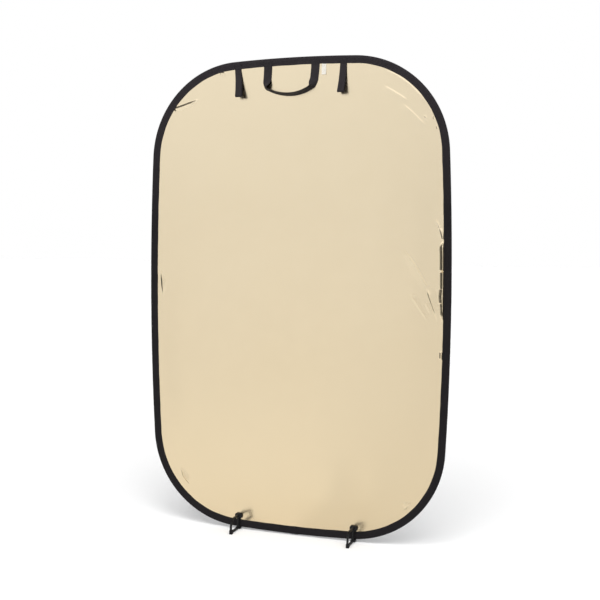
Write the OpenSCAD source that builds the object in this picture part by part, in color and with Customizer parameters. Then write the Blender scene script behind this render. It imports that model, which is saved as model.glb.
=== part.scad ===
// Collapsible reflector panel: a sprung steel hoop sewn into a folded black binding, two
// reflecting fabrics, a webbing carry handle, two hanging loops and a pair of clip-on feet.
// Millimetres. The floor is z = 0, the panel stands in the plane y = 0 and its gold face
// looks towards -Y, with +X to the right as seen from the front.

/* [Panel] */
// Width of the panel over its binding
panel_w = 1200; // [1000:10:1400]
// Height of the panel over its binding
panel_h = 1800; // [1500:10:2100]
// Radius of the four corners
corner_r = 366; // [300:2:420]
// Radius of the slight outward bow of the two long sides
side_bow_r = 11200; // [9000:100:16000]
// Radius of the outward bow of the top and bottom edges
end_bow_r = 5000; // [4000:100:8000]

/* [Fabric and binding] */
// Width of the folded binding, seen from the front
binding_w = 28; // [20:1:40]
// Thickness of the binding tape
tape_t = 0.8; // [0.6:0.1:1.4]
// Thickness of each reflecting fabric
fabric_t = 0.5; // [0.4:0.05:0.8]
// Gap between the two fabrics
fabric_gap = 0.2; // [0.1:0.05:0.5]
// Gap between the fabrics and the binding that is sewn over them
seam_gap = 0.1; // [0.05:0.05:0.3]
// Inner radius of the binding's fold, at the two outer edges
fold_r = 0.6; // [0.3:0.1:1.5]

/* [Hoop] */
// Width of the sprung steel band, across the panel's thickness
hoop_w = 8; // [5:0.5:12]
// Thickness of the band
hoop_t = 1.2; // [0.8:0.1:2]
// Gap left between the two ends of the band
hoop_joint_gap = 1.5; // [0.5:0.5:4]
// Length of the crimped sleeve that joins the band's ends
sleeve_l = 60; // [40:2:100]
// Wall of the sleeve
sleeve_wall = 0.4; // [0.3:0.1:0.8]
// Gap between the sleeve and the band
sleeve_fit = 0.05; // [0.03:0.01:0.1]
// Gap between the sleeve and the binding's fold
fold_gap = 0.2; // [0.1:0.05:0.5]

/* [Carry handle] */
// Width of the handle webbing
handle_w = 32; // [25:1:40]
// Thickness of the handle webbing
handle_t = 2; // [1.4:0.1:3]
// Distance between the middles of the handle's two sewn ends
handle_span = 187; // [150:1:240]
// Sideways place of the handle, from the middle of the top edge
handle_x = -10.5; // [-40:0.5:20]
// Drop of the handle from its seam to the middle of its grip
handle_drop = 106; // [90:1:140]
// Radius of the handle's two lower corners
handle_bend_r = 24; // [22:1:34]
// Slope of the sagging grip where it leaves a lower corner
handle_slope = 29; // [10:1:36]
// Turn of the webbing about its own length, in the grip
handle_twist = 84; // [0:1:86]
// Length of webbing over which it turns, round each lower corner
handle_twist_l = 56; // [45:1:70]

/* [Hanging loops] */
// Width of the loop webbing
loop_w = 25; // [20:1:30]
// Thickness of the loop webbing
loop_t = 1.4; // [1:0.1:2]
// Length of a loop from its seam to the middle of its lower bend
loop_l = 99; // [70:1:130]
// Opening of a loop at its lower bend
loop_gap = 10; // [8:0.5:16]
// Length over which the two plies are sewn together at the seam
loop_sewn = 10; // [6:1:16]
// Distance between the middles of the two loops
loop_span = 417; // [340:1:460]
// Sideways place of the pair of loops, from the middle of the top edge
loop_x = -17; // [-30:0.5:20]
// Stand of a loop's lower bend in front of its seam, where the stiff webbing curls forward
loop_curl = 18; // [0:1:24]

/* [Care label] */
// Width of the plain white label
label_w = 20; // [14:1:28]
// Length of the label
label_l = 37; // [20:1:50]
// Thickness of the label
label_t = 0.4; // [0.3:0.05:0.6]
// Gap between the handle's sewn end and the label beside it
label_gap = 9; // [3:0.5:40]
// Drop of the label's seam below the binding, which lets it fold up against the rim
label_drop = 1.7; // [1.6:0.1:4]

/* [Feet] */
// Distance between the middles of the two feet
foot_span = 467; // [440:1:470]
// Sideways place of the pair of feet, from the middle of the bottom edge
foot_x = 12.5; // [-15:0.5:13]
// Reach of a lever in front of or behind the panel
reach = 84; // [72:1:100]
// Thickness of a lever's bars, across its open side
bar_t = 7; // [5:0.5:9]
// Width of a lever's bars, along the rim
bar_w = 7; // [6.5:0.5:10]
// Radius of a lever's curved outer brace
brace_r = 34; // [28:1:46]
// Drop of the brace's top below the jaw's top
brace_drop = 4; // [0:0.5:8]
// Radius of the fillets in a lever's open frame
frame_r = 5; // [1:0.5:6]
// Gap between the binding and a lever's post
post_gap = 1.6; // [1:0.1:3]
// Width of a jaw, along the rim
jaw_w = 29; // [24:1:32]
// Height of a jaw
jaw_h = 21; // [18:1:28]
// Thickness of a jaw
jaw_t = 4; // [3:0.5:6]
// Radius of a jaw's corners
jaw_corner_r = 8; // [2:0.5:9]
// Spread of a jaw's rib on each side of the lever
rib_w = 7; // [4:0.5:9]
// Thickness of a jaw's rib
rib_t = 3; // [2:0.5:5]
// Least height of the jaws above the inner edge of the binding
jaw_gap = 1; // [0.5:0.5:4]
// Thickness of a jaw's rubber pad
pad_t = 3; // [2:0.5:5]
// Margin of the jaw round its pad
pad_margin = 2; // [1:0.5:4]
// Grooves across the face of a pad
pad_grooves = 4; // [2:1:6]
// Width of a pad's grooves
groove_w = 1.4; // [0.8:0.1:2]
// Depth of a pad's grooves
groove_d = 0.8; // [0.4:0.1:1.5]
// Thickness of rubber under a lever's tip
tip_t = 2.6; // [2.4:0.1:4]
// Thickness of rubber round a lever's tip
tip_wall = 1.6; // [1:0.1:2.5]
// Length of a rubber tip, and its height
tip_l = 16; // [12:1:22]
// Radius of a rubber tip's corners
tip_r = 2.5; // [1:0.5:4]

/* [Foot hinges] */
// Diameter of a hinge pin
pin_d = 4; // [3:0.5:5]
// Running clearance of the pin in its ears, on the radius
pin_fit = 0.05; // [0.02:0.01:0.1]
// Outer radius of the ears round the pin
ear_r = 4.2; // [4.1:0.1:5.5]
// Thickness of each ear
ear_t = 3; // [2:0.5:4]
// Gap between neighbouring ears, and between the ears and the pin's heads
ear_gap = 0.3; // [0.2:0.05:0.6]
// Height of the ears above the floor
ear_lift = 0.6; // [0.4:0.1:2]
// Radius of a pin's two heads
pin_head_r = 3.4; // [2.8:0.1:4]
// Thickness of a pin's heads
pin_head_t = 1.5; // [1:0.1:2.5]
// Diameter of the spring wire
spring_wire = 0.9; // [0.7:0.05:1]
// Gap between the turns of a spring
spring_gap = 0.55; // [0.45:0.05:0.8]
// Gap between a spring and its pin
spring_fit = 0.55; // [0.5:0.05:0.8]
// Turns of a spring round its pin
spring_turns = 3; // [2:1:4]
// Length of a spring's arms under the levers
spring_arm = 24; // [18:1:40]

/* [Clearances] */
// Gap between pieces that swing or lie against the panel
touch_gap = 0.3; // [0.2:0.05:0.5]
// Gap between pieces that are pressed or bonded together
bond_gap = 0.05; // [0.02:0.01:0.1]

/* [Hidden] */
$fn = 48;

// Steps along a long side, half of the top or bottom edge, and a corner of the panel
side_steps = 8;
end_steps = 8;
rim_corner_steps = 20;
// Steps round a small corner
corner_steps = 6;
// Segments in a full turn of the sleeve's long arc
sleeve_fn = 1440;
// Overlap of cuts past the faces that they open
cut = 1;

// Outline of the panel: arcs that meet tangentially, seen from the front
half_w = panel_w / 2;
half_h = panel_h / 2;
side_c = half_w - side_bow_r;
end_c = half_h - end_bow_r;
bow_apart = norm([side_c, end_c]);
bow_way = [-side_c, end_c] / bow_apart;
side_in = side_bow_r - corner_r;
end_in = end_bow_r - corner_r;
corner_along = (bow_apart ^ 2 + side_in ^ 2 - end_in ^ 2) / (2 * bow_apart);
corner_off = sqrt(side_in ^ 2 - corner_along ^ 2);
corner_x = side_c + bow_way[0] * corner_along - bow_way[1] * corner_off;
corner_z = bow_way[1] * corner_along + bow_way[0] * corner_off;
side_a = atan2(corner_z, corner_x - side_c);
end_a = atan2(corner_z - end_c, corner_x);
corner_a = end_a - side_a;

// Each arc is its centre, radius, start angle, swept angle and steps, from the middle of the
// bottom edge round by the right side
rim_arcs = [
    [[0, -end_c], end_bow_r, 270, 90 - end_a, end_steps],
    [[corner_x, -corner_z], corner_r, 360 - end_a, corner_a, rim_corner_steps],
    [[side_c, 0], side_bow_r, -side_a, 2 * side_a, side_steps],
    [[corner_x, corner_z], corner_r, side_a, corner_a, rim_corner_steps],
    [[0, end_c], end_bow_r, end_a, 180 - 2 * end_a, 2 * end_steps],
    [[-corner_x, corner_z], corner_r, 180 - end_a, corner_a, rim_corner_steps],
    [[-side_c, 0], side_bow_r, 180 - side_a, 2 * side_a, side_steps],
    [[-corner_x, -corner_z], corner_r, 180 + side_a, corner_a, rim_corner_steps],
    [[0, -end_c], end_bow_r, 180 + end_a, 90 - end_a, end_steps]
];
// A station is one place along the outline: the centre and radius of its arc, and its angle
rim_stations = [
    for (arc = rim_arcs)
        for (step = [0:arc[4] - 1])
            [arc[0], arc[1], arc[2] + arc[3] * step / arc[4]]
];
function at_station(station, depth) =
    station[0] + (station[1] - depth) * [cos(station[2]), sin(station[2])];

// Half height of the outline at a place along the top or bottom edge, at a depth inside it
function edge_h(x, depth) =
    abs(x) < end_bow_r * cos(end_a)
        ? end_c + sqrt((end_bow_r - depth) ^ 2 - x ^ 2)
        : corner_z + sqrt((corner_r - depth) ^ 2 - (abs(x) - corner_x) ^ 2);

// Depths and half thicknesses inside the binding
fabric_half = fabric_gap / 2 + fabric_t;
slot_half = fabric_half + seam_gap;
edge_half = slot_half + tape_t;
sleeve_depth = tape_t + fold_r + fold_gap;
hoop_depth = sleeve_depth + sleeve_wall + sleeve_fit;
hoop_end_depth = hoop_depth + hoop_t;
fabric_depth = hoop_end_depth + sleeve_fit + sleeve_wall + fold_gap;
cavity_half = hoop_w / 2 + sleeve_fit + sleeve_wall + fold_gap;
fold_half = cavity_half + tape_t;

// Places of the feet, and the height of the rim that rests on their ears
foot_places = [foot_x - foot_span / 2, foot_x + foot_span / 2];
pin_r = pin_d / 2;
pin_z = ear_lift + ear_r;
spring_r = pin_r + spring_fit + spring_wire / 2;
spring_pitch = spring_wire + spring_gap;
spring_half = spring_turns * spring_pitch / 2;
inner_ear_x = spring_half + spring_wire / 2 + ear_gap;
outer_ear_x = inner_ear_x + ear_t + ear_gap;
ear_end_x = outer_ear_x + ear_t;
rest_x = min([for (place = foot_places) abs(place) - ear_end_x]);
rim_lift = pin_z + ear_r + touch_gap - (half_h - edge_h(rest_x, 0));
mid_z = rim_lift + half_h;

// Sizes of the levers, seen from the side: u runs away from the panel
post_u = fold_half + post_gap;
jaw_edge_x = max([for (place = foot_places) abs(place)]) + jaw_w / 2;
jaw_z = mid_z - edge_h(jaw_edge_x, binding_w) + jaw_gap;
jaw_u = fabric_half + touch_gap + pad_t + bond_gap;
jaw_top = jaw_z + jaw_h;
brace_top = jaw_top - brace_drop;
brace_z = brace_top - brace_r;
base_top = tip_t + bar_t;

// Seams under the top edge, where the webbing and the label swing
handle_half = handle_span / 2 + handle_w / 2;
handle_end_x = abs(handle_x) + handle_half;
handle_seam_z = mid_z + edge_h(handle_end_x, binding_w) - touch_gap - handle_t / 2;
handle_seam_y = -fabric_half - touch_gap - handle_t / 2;
loop_seam_y = -fabric_half - touch_gap - loop_t;
loop_places = [loop_x - loop_span / 2, loop_x + loop_span / 2];
label_x = handle_x + handle_half + label_gap + label_w / 2;
label_y = -fabric_half - touch_gap - label_t / 2;
label_top = mid_z + edge_h(label_x + label_w / 2, binding_w) - label_drop;

// Colours
black_tape = [0.10, 0.10, 0.11];
black_web = [0.14, 0.14, 0.15];
black_nylon = [0.07, 0.07, 0.08];
black_rubber = [0.04, 0.04, 0.04];
gold_cloth = [0.89, 0.81, 0.66];
silver_cloth = [0.80, 0.81, 0.83];
white_cloth = [0.95, 0.95, 0.94];
spring_steel = [0.45, 0.46, 0.48];
plated_steel = [0.68, 0.69, 0.71];

// Points of an arc in the plane of an outline
function arc_points(centre, radius, start, sweep, steps) = [
    for (step = [0:steps])
        centre + radius * [cos(start + sweep * step / steps), sin(start + sweep * step / steps)]
];

// Rectangle with rounded corners, from its lowest to its highest corner
function round_rect(low, high, radius) = concat(
    arc_points([high[0] - radius, low[1] + radius], radius, -90, 90, corner_steps),
    arc_points([high[0] - radius, high[1] - radius], radius, 0, 90, corner_steps),
    arc_points([low[0] + radius, high[1] - radius], radius, 90, 90, corner_steps),
    arc_points([low[0] + radius, low[1] + radius], radius, 180, 90, corner_steps)
);

// Turns a profile drawn in the panel's front view upright, with its thickness along Y
module upright() {
    translate([0, 0, mid_z])
        rotate([90, 0, 0])
            children();
}

// Section of the rim at a station, from points given as depth and distance behind the panel's middle
function rim_ring(station, section) = [
    for (point = section)
        let (place = at_station(station, point[0]))
            [place[0], point[1], mid_z + place[1]]
];

// Draws a side view, as distance from the panel and height, and gives it a width along X
module side_slab(width) {
    rotate([90, 0, 90])
        translate([0, 0, -width / 2])
            linear_extrude(width)
                children();
}

// Skins a row of rings, each with the same number of points, into one solid. An endless row
// closes on its first ring, and any other row gets flat ends.
module skin(rings, endless = false) {
    sides = len(rings[0]);
    rows = len(rings);
    points = [for (ring = rings) for (point = ring) point];
    walls = [
        for (row = [0:rows - (endless ? 1 : 2)])
            for (side = [0:sides - 1])
                let (
                    beside = (side + 1) % sides,
                    here = row * sides,
                    ahead = (row + 1) % rows * sides
                )
                each [
                    [here + side, ahead + side, here + beside],
                    [here + beside, ahead + side, ahead + beside]
                ]
    ];
    near_end = [for (side = [1:sides - 2]) [0, side, side + 1]];
    last = (rows - 1) * sides;
    far_end = [for (side = [1:sides - 2]) [last, last + side + 1, last + side]];
    polyhedron(points, endless ? walls : concat(walls, near_end, far_end));
}

// Sprung steel band, open for a small gap at the middle of the bottom edge
module steel_hoop() {
    gap_a = hoop_joint_gap / (end_bow_r - hoop_depth) * 180 / PI;
    first = [rim_stations[0][0], end_bow_r, 270 + gap_a / 2];
    last = [rim_stations[0][0], end_bow_r, 270 - gap_a / 2];
    between = [for (step = [1:len(rim_stations) - 1]) rim_stations[step]];
    section = [[hoop_depth, -hoop_w / 2], [hoop_end_depth, -hoop_w / 2],
        [hoop_end_depth, hoop_w / 2], [hoop_depth, hoop_w / 2]];
    color(spring_steel)
        skin([for (station = concat([first], between, [last])) rim_ring(station, section)]);
}

// Flat sleeve, crimped over the two ends of the band
module hoop_sleeve() {
    sweep = sleeve_l / (end_bow_r - hoop_depth) * 180 / PI;
    bore = [hoop_t + 2 * sleeve_fit, hoop_w + 2 * sleeve_fit];
    outside = bore + [2 * sleeve_wall, 2 * sleeve_wall];
    color(plated_steel)
        upright()
            translate([0, -end_c, 0])
                rotate([0, 0, 270 - sweep / 2])
                    rotate_extrude(angle = sweep, $fn = sleeve_fn)
                        translate([end_bow_r - (hoop_depth + hoop_end_depth) / 2, 0])
                            difference() {
                                square(outside, center = true);
                                square(bore, center = true);
                            }
}

// Tape folded round the hoop, tapering to the seam where it is sewn over the fabrics
module rim_binding() {
    outer_r = fold_r + tape_t;
    bevel = outer_r * (1 - cos(45));
    outside = [[binding_w, edge_half], [fabric_depth, fold_half], [outer_r, fold_half],
        [bevel, fold_half - bevel], [0, fold_half - outer_r]];
    inside = [[tape_t, cavity_half - fold_r], [outer_r, cavity_half],
        [fabric_depth, cavity_half], [binding_w, slot_half]];
    front_half = concat(inside_out(outside), inside_out(inside));
    section = concat(outside, front_half, inside);
    color(black_tape)
        skin([for (station = rim_stations) rim_ring(station, section)], endless = true);
}

// Mirror of a row of section points on the front of the panel, in the opposite order
function inside_out(row) = [
    for (step = [len(row) - 1:-1:0])
        [row[step][0], -row[step][1]]
];

// One layer of fabric, cut to lie just inside the hoop
module fabric_layer() {
    linear_extrude(fabric_t)
        polygon([for (station = rim_stations) at_station(station, fabric_depth)]);
}

module front_fabric() {
    color(gold_cloth)
        upright()
            translate([0, 0, fabric_gap / 2])
                fabric_layer();
}

module rear_fabric() {
    color(silver_cloth)
        upright()
            translate([0, 0, -fabric_half])
                fabric_layer();
}

// Sizes of one half of the handle, from its seam to the middle of its grip: a straight leg, the
// bend of a lower corner, and a grip that hangs in a wide arc
handle_turn = 90 - handle_slope;
handle_bend = handle_bend_r * handle_turn * PI / 180;
handle_bend_x = handle_bend_r * (1 - cos(handle_turn));
grip_r = (handle_span / 2 - handle_bend_x) / sin(handle_slope);
handle_grip = grip_r * handle_slope * PI / 180;
grip_sag = grip_r * (1 - cos(handle_slope));
handle_leg = handle_drop - grip_sag - handle_bend_r * sin(handle_turn);
handle_steps = 36;

function smooth(t) = t <= 0 ? 0 : t >= 1 ? 1 : t * t * (3 - 2 * t);

// Place, direction and twist of the webbing at a length s from its seam
function handle_place(s) =
    let (
        turn = handle_turn * (s - handle_leg) / handle_bend,
        slope = handle_slope * (1 - (s - handle_leg - handle_bend) / handle_grip),
        twist_start = handle_leg + handle_bend / 2 - handle_twist_l / 2,
        twist = handle_twist * smooth((s - twist_start) / handle_twist_l)
    )
    turn <= 0
        ? [0, -s, -90, twist]
        : turn <= handle_turn
            ? [handle_bend_r * (1 - cos(turn)), -handle_leg - handle_bend_r * sin(turn), turn - 90, twist]
            : [handle_span / 2 - grip_r * sin(slope), grip_r * (1 - cos(slope)) - handle_drop, -slope, twist];

// Four corners of the webbing at one place, its width turned about its length. The webbing
// stands off the fabric far enough for its rear edge to clear it.
function handle_ring(place, thick, rise) =
    let (
        along = place[2],
        twist = place[3],
        wide = [-sin(along) * cos(twist), -sin(twist), cos(along) * cos(twist)] * handle_w / 2,
        across = [sin(along) * sin(twist), -cos(twist), -cos(along) * sin(twist)] * thick / 2,
        stand = handle_t / 2 - handle_w / 2 * sin(twist) - handle_t / 2 * cos(twist),
        middle = [place[0] - handle_span / 2, handle_seam_y + stand, handle_seam_z + place[1] + rise]
    )
    [middle + wide + across, middle - wide + across, middle - wide - across, middle + wide - across];

// Webbing loop with flat sewn ends, rounded about the seam, and a grip turned nearly edge on
module carry_handle() {
    half_l = handle_leg + handle_bend + handle_grip;
    sewn_end = [for (lean = [60, 30])
        handle_ring(handle_place(0), handle_t * cos(lean), handle_t / 2 * sin(lean))];
    left_half = concat(sewn_end, [for (step = [0:handle_steps])
        handle_ring(handle_place(half_l * step / handle_steps), handle_t, 0)]);
    right_half = [for (row = [len(left_half) - 2:-1:0])
        [for (point = left_half[row]) [-point[0], point[1], point[2]]]];
    color(black_web)
        translate([handle_x, 0, 0])
            skin(concat(left_half, right_half));
}

// Outline of two circles, one under the other, and their common tangents
function drop_outline(top, top_r, bottom, bottom_r) =
    let (
        way = top - bottom,
        lean = atan2(way[1], way[0]) - 90,
        side = asin((top_r - bottom_r) / norm(way)),
        upper = arc_points(top, top_r, lean + side, 180 - 2 * side, corner_steps),
        lower = arc_points(bottom, bottom_r, lean + 180 - side, 180 + 2 * side, 2 * corner_steps)
    )
    concat(upper, side_points(upper[len(upper) - 1], lower[0]),
        lower, side_points(lower[len(lower) - 1], upper[0]));

// Points between the two ends of a straight side, so that it can be curled
function side_points(start, end) = [
    for (step = [1:loop_steps - 1])
        start + (end - start) * step / loop_steps
];
loop_steps = 10;

// Bends a hanging outline forward, more and more towards its lower end
function curled(outline) = [
    for (point = outline)
        point - [loop_curl * (min(point[1], 0) / loop_l) ^ 2, 0]
];

// Webbing folded into a loop, its plies sewn together at the seam and open at the lower bend.
// Its outlines hang from the seam.
module hang_strap(place) {
    bend_r = loop_gap / 2 + loop_t;
    spread = bend_r - loop_t;
    seam_z = mid_z + edge_h(abs(place) + loop_w / 2, binding_w) - touch_gap - loop_t;
    bottom = [-spread, -sqrt(loop_l ^ 2 - spread ^ 2)];
    slit_top = bottom * loop_sewn / loop_l;
    slit_top_r = spread * loop_sewn / loop_l;
    color(black_web)
        translate([place, loop_seam_y, seam_z])
            side_slab(loop_w)
                difference() {
                    polygon(curled(drop_outline([0, 0], loop_t, bottom, bend_r)));
                    polygon(curled(drop_outline(slit_top, slit_top_r, bottom, loop_gap / 2)));
                }
}

module left_hang_strap() hang_strap(loop_places[0]);
module right_hang_strap() hang_strap(loop_places[1]);

// Plain sewn-in tab
module care_label() {
    color(white_cloth)
        translate([label_x - label_w / 2, label_y - label_t / 2, label_top - label_l])
            cube([label_w, label_t, label_l]);
}

// Fillet in an inner corner of a lever's frame, between two bars that run the given ways
module frame_fillet(corner, way, radius) {
    translate(corner)
        mirror([way[0] < 0 ? 1 : 0, 0])
            mirror([0, way[1] < 0 ? 1 : 0])
                difference() {
                    translate([-cut, -cut])
                        square(radius + cut);
                    translate([radius, radius])
                        circle(radius);
                }
}

// A quarter of a disc, from the way of the brace's foot to the way of its top
module brace_quarter(radius) {
    intersection() {
        circle(radius, $fn = 96);
        square(radius);
    }
}

// Open side frame of a lever: post, base bar, and an outer brace that bends back to the jaw.
// A growth widens all its bars by that much on each side, for what fits round them.
module lever_frame(growth = 0) {
    brace_u = reach - brace_r;
    low = [post_u - growth, tip_t - growth];
    inner_low = [post_u + bar_t + growth, base_top + growth];
    inner_end_u = reach - bar_t - growth;
    inner_r = brace_r - bar_t - growth;
    fillet_r = frame_r - growth;
    difference() {
        union() {
            translate(low)
                square([reach + growth - low[0], brace_z - low[1]]);
            translate([low[0], brace_z])
                square([brace_u - low[0], brace_r + growth]);
            translate([brace_u, brace_z])
                brace_quarter(brace_r + growth);
        }
        difference() {
            union() {
                translate(inner_low)
                    square([inner_end_u - inner_low[0], brace_z - inner_low[1]]);
                translate([inner_low[0], brace_z])
                    square([brace_u - inner_low[0], inner_r]);
                translate([brace_u, brace_z])
                    brace_quarter(inner_r);
            }
            frame_fillet(inner_low, [1, 1], fillet_r);
            frame_fillet([inner_end_u, inner_low[1]], [-1, 1], fillet_r);
            frame_fillet([inner_low[0], brace_z + inner_r], [1, -1], fillet_r);
        }
    }
}

// Rib across the back of a jaw, tapering from the jaw's width to the lever's
module jaw_rib() {
    root_u = jaw_u + jaw_t / 2;
    half_rib = bar_w / 2 + rib_w;
    translate([0, 0, (jaw_z + brace_top - rib_t) / 2])
        linear_extrude(rib_t)
            polygon([[-half_rib, root_u], [half_rib, root_u],
                [bar_w / 2, post_u + bar_t], [-bar_w / 2, post_u + bar_t]]);
}

// Lever of a foot, drawn behind the panel: frame, forked ears round the pin, and a broad jaw
module lever(ear_x) {
    fork_w = 2 * (ear_x + ear_t);
    fork_u = post_u + bar_t;
    color(black_nylon)
        difference() {
            union() {
                side_slab(bar_w)
                    lever_frame();
                side_slab(fork_w)
                    translate([post_u, tip_t])
                        square([fork_u - post_u, bar_t]);
                for (side = [-1, 1])
                    translate([side * (ear_x + ear_t / 2), 0, 0])
                        side_slab(ear_t) {
                            translate([0, pin_z])
                                circle(ear_r);
                            translate([0, tip_t])
                                square([post_u + bar_t / 2, pin_z - tip_t + ear_r / 2]);
                        }
                translate([0, jaw_u + jaw_t, 0])
                    rotate([90, 0, 0])
                        linear_extrude(jaw_t)
                            polygon(round_rect([-jaw_w / 2, jaw_z], [jaw_w / 2, jaw_top], jaw_corner_r));
                translate([-bar_w / 2, jaw_u + jaw_t / 2, jaw_z])
                    cube([bar_w, post_u + bar_t / 2 - jaw_u - jaw_t / 2, brace_top - jaw_z]);
                jaw_rib();
            }
            translate([-ear_end_x - cut, 0, pin_z])
                rotate([0, 90, 0])
                    cylinder(r = pin_r + pin_fit, h = 2 * (ear_end_x + cut));
        }
}

// Rubber pad on the inner face of a jaw, grooved across where it grips
module jaw_pad() {
    low = [pad_margin - jaw_w / 2, jaw_z + pad_margin];
    high = [jaw_w / 2 - pad_margin, jaw_top - pad_margin];
    face_u = jaw_u - bond_gap - pad_t;
    groove_pitch = (high[1] - low[1]) / (pad_grooves + 1);
    color(black_rubber)
        difference() {
            translate([0, jaw_u - bond_gap, 0])
                rotate([90, 0, 0])
                    linear_extrude(pad_t)
                        polygon(round_rect(low, high, jaw_corner_r - pad_margin / 2));
            for (groove = [1:pad_grooves])
                translate([-jaw_w / 2, face_u - cut, low[1] + groove * groove_pitch - groove_w / 2])
                    cube([jaw_w, cut + groove_d, groove_w]);
        }
}

// Rubber shoe over the outer lower corner of a lever, flat where it stands on the floor
module lever_tip() {
    color(black_rubber)
        difference() {
            side_slab(bar_w + 2 * tip_wall)
                polygon(round_rect([reach + tip_wall - tip_l, 0], [reach + tip_wall, tip_l], tip_r));
            side_slab(bar_w + 2 * bond_gap)
                lever_frame(bond_gap);
        }
}

// Pin through the ears of both levers, with a head at each end
module hinge_pin() {
    head_x = ear_end_x + ear_gap;
    color(plated_steel)
        translate([-head_x, 0, pin_z])
            rotate([0, 90, 0])
                union() {
                    cylinder(r = pin_r, h = 2 * head_x);
                    for (end = [-pin_head_t, 2 * head_x])
                        translate([0, 0, end])
                            cylinder(r = pin_head_r, h = pin_head_t);
                }
}

// Route of a spring: an arm under the front lever, the turns round the pin, an arm under the rear lever
spring_curl_steps = 8;
spring_sides = 6;
spring_turn_points = [
    for (step = [0:spring_turns * spring_curl_steps])
        let (turn = 360 * step / spring_curl_steps)
            [spring_pitch * step / spring_curl_steps - spring_half,
                spring_r * sin(turn), pin_z - spring_r * cos(turn)]
];
spring_route = concat(
    [[-spring_half, -spring_arm, pin_z - spring_r], [-spring_half, -spring_wire, pin_z - spring_r]],
    spring_turn_points,
    [[spring_half, spring_wire, pin_z - spring_r], [spring_half, spring_arm, pin_z - spring_r]]
);
spring_least_gap = min([
    for (a = [0:len(spring_turn_points) - 1])
        for (b = [a + spring_curl_steps / 2:1:len(spring_turn_points) - 1])
            norm(spring_turn_points[a] - spring_turn_points[b])
]) - spring_wire;
echo(spring_least_gap_mm = spring_least_gap);

// Ring of points round one place on the spring's route
function spring_ring(step) =
    let (
        last = len(spring_route) - 1,
        way = spring_route[min(step + 1, last)] - spring_route[max(step - 1, 0)],
        ahead = way / norm(way),
        out = cross([1, 0, 0], ahead) / norm(cross([1, 0, 0], ahead)),
        side = cross(ahead, out)
    )
    [for (corner = [0:spring_sides - 1])
        let (angle = 360 * corner / spring_sides)
            spring_route[step] + spring_wire / 2 * (cos(angle) * out + sin(angle) * side)];

// Torsion spring whose two arms press up under the levers and so close the jaws
module foot_spring() {
    color(spring_steel)
        skin([for (step = [0:len(spring_route) - 1]) spring_ring(step)]);
}

// Puts a piece of a foot at its place along the rim, behind the panel or in front of it
module at_foot(which, in_front = false) {
    translate([foot_places[which], 0, 0])
        mirror([0, in_front ? 1 : 0, 0])
            children();
}

module left_front_lever() at_foot(0, true) lever(outer_ear_x);
module left_rear_lever() at_foot(0) lever(inner_ear_x);
module left_front_pad() at_foot(0, true) jaw_pad();
module left_rear_pad() at_foot(0) jaw_pad();
module left_front_tip() at_foot(0, true) lever_tip();
module left_rear_tip() at_foot(0) lever_tip();
module left_hinge_pin() at_foot(0) hinge_pin();
module left_spring() at_foot(0) foot_spring();
module right_front_lever() at_foot(1, true) lever(outer_ear_x);
module right_rear_lever() at_foot(1) lever(inner_ear_x);
module right_front_pad() at_foot(1, true) jaw_pad();
module right_rear_pad() at_foot(1) jaw_pad();
module right_front_tip() at_foot(1, true) lever_tip();
module right_rear_tip() at_foot(1) lever_tip();
module right_hinge_pin() at_foot(1) hinge_pin();
module right_spring() at_foot(1) foot_spring();

steel_hoop();
hoop_sleeve();
rim_binding();
front_fabric();
rear_fabric();
carry_handle();
left_hang_strap();
right_hang_strap();
care_label();
left_front_lever();
left_rear_lever();
left_front_pad();
left_rear_pad();
left_front_tip();
left_rear_tip();
left_hinge_pin();
left_spring();
right_front_lever();
right_rear_lever();
right_front_pad();
right_rear_pad();
right_front_tip();
right_rear_tip();
right_hinge_pin();
right_spring();
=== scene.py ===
import math
from contextlib import contextmanager

import bpy
import numpy as np
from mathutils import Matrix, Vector


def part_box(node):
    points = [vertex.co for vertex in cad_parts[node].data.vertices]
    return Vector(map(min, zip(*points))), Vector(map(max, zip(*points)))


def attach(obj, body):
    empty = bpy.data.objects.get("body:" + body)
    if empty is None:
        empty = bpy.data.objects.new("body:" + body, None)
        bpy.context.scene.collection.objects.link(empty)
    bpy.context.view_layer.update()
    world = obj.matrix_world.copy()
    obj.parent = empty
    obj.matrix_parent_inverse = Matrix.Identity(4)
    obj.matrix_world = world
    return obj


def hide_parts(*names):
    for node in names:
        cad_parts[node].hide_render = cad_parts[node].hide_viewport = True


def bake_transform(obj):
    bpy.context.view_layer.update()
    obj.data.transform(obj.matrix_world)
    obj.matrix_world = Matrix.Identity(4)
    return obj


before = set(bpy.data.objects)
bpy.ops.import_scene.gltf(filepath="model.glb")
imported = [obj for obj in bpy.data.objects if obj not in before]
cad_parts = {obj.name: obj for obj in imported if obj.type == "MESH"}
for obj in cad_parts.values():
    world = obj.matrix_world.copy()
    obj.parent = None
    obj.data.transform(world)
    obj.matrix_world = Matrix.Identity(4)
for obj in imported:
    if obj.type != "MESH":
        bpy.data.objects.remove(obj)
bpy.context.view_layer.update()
mm = 0.001
print("frame loaded:", len(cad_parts), "nodes")


# Working by hand: selecting, edit mode, modifiers and moving points

def grab(piece=None):
    if bpy.context.mode != "OBJECT":
        bpy.ops.object.mode_set(mode="OBJECT")
    bpy.ops.object.select_all(action="DESELECT")
    if piece:
        piece.select_set(True)
        bpy.context.view_layer.objects.active = piece


@contextmanager
def editing(piece):
    grab(piece)
    bpy.ops.object.mode_set(mode="EDIT")
    bpy.ops.mesh.select_mode(type="FACE")
    yield
    bpy.ops.object.mode_set(mode="OBJECT")


def applyModifier(piece, kind, **settings):
    grab(piece)
    modifier = piece.modifiers.new(kind, kind)
    for setting, value in settings.items():
        setattr(modifier, setting, value)
    bpy.ops.object.modifier_apply(modifier=modifier.name)


def getPoints(piece):
    places = np.empty(len(piece.data.vertices) * 3, np.float32)
    piece.data.vertices.foreach_get("co", places)
    return places.reshape(-1, 3).astype(float).T


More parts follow.
